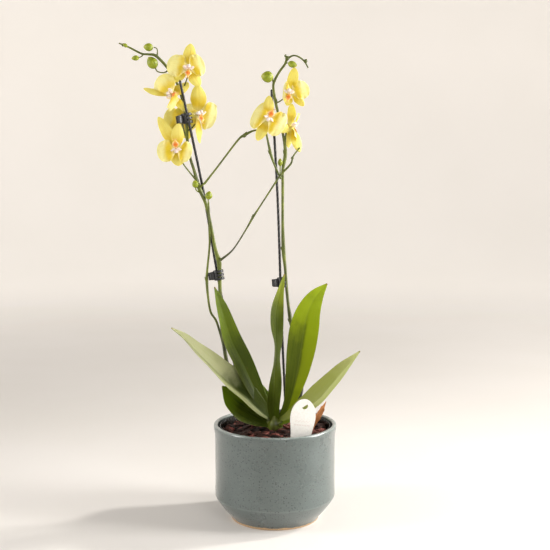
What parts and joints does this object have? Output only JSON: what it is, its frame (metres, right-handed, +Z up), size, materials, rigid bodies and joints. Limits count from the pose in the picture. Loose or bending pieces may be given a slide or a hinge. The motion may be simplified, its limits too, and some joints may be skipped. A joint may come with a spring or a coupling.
{
  "type": "potted orchid",
  "caption": "Moth orchid with yellow flowers on staked spikes, strap leaves and bark, in a round speckled grey-green pot.",
  "frame": {"origin": "centre of the pot's foot, on the surface it stands on", "axes": "+Z up along the pot's axis, +X to the right of the side seen, -Y towards the viewer"},
  "size_m": [0.2768, 0.145, 0.5556],
  "materials": {
    "glaze": "satin",
    "liner": "gloss",
    "bark": "matte",
    "leaf": "satin",
    "dry_leaf": "matte",
    "stem": "satin",
    "bud": "satin",
    "petal": "satin",
    "lip": "satin",
    "stake": "gloss",
    "clip": "satin",
    "label": "matte"
  },
  "bodies": {
    "root": {"pot": "glaze", "nursery_liner": "liner", "bark_bed": "bark", "crown": "stem", "sheath": "dry_leaf", "tag": "label", "stake_left": "stake", "stake_right": "stake", "clip_left_upper": "clip", "clip_left_lower": "clip", "clip_right": "clip", "spike_left": "stem", "spike_left_thin": "stem", "spike_right": "stem", "branch_left_long": "stem", "branch_left_upper": "stem", "branch_right": "stem", "leaf_1": "leaf", "leaf_2": "leaf", "leaf_3": "leaf", "leaf_4": "leaf", "leaf_5": "leaf", "leaf_6": "leaf", "leaf_7": "leaf", "leaf_8": "leaf", "bud_1": "bud", "bud_2": "bud", "bud_3": "bud", "bud_4": "bud", "bud_5": "bud", "bud_6": "bud", "bud_7": "bud", "bud_8": "bud", "bud_9": "bud", "flower_1_petals": "petal", "flower_1_sepals": "petal", "flower_1_lip": "lip", "flower_2_petals": "petal", "flower_2_sepals": "petal", "flower_2_lip": "lip", "flower_3_petals": "petal", "flower_3_sepals": "petal", "flower_3_lip": "lip", "flower_4_petals": "petal", "flower_4_sepals": "petal", "flower_4_lip": "lip", "flower_5_petals": "petal", "flower_5_sepals": "petal", "flower_5_lip": "lip", "flower_6_petals": "petal", "flower_6_sepals": "petal", "flower_6_lip": "lip", "flower_7_petals": "petal", "flower_7_sepals": "petal", "flower_7_lip": "lip", "flower_8_petals": "petal", "flower_8_sepals": "petal", "flower_8_lip": "lip"}
  },
  "joints": []
}
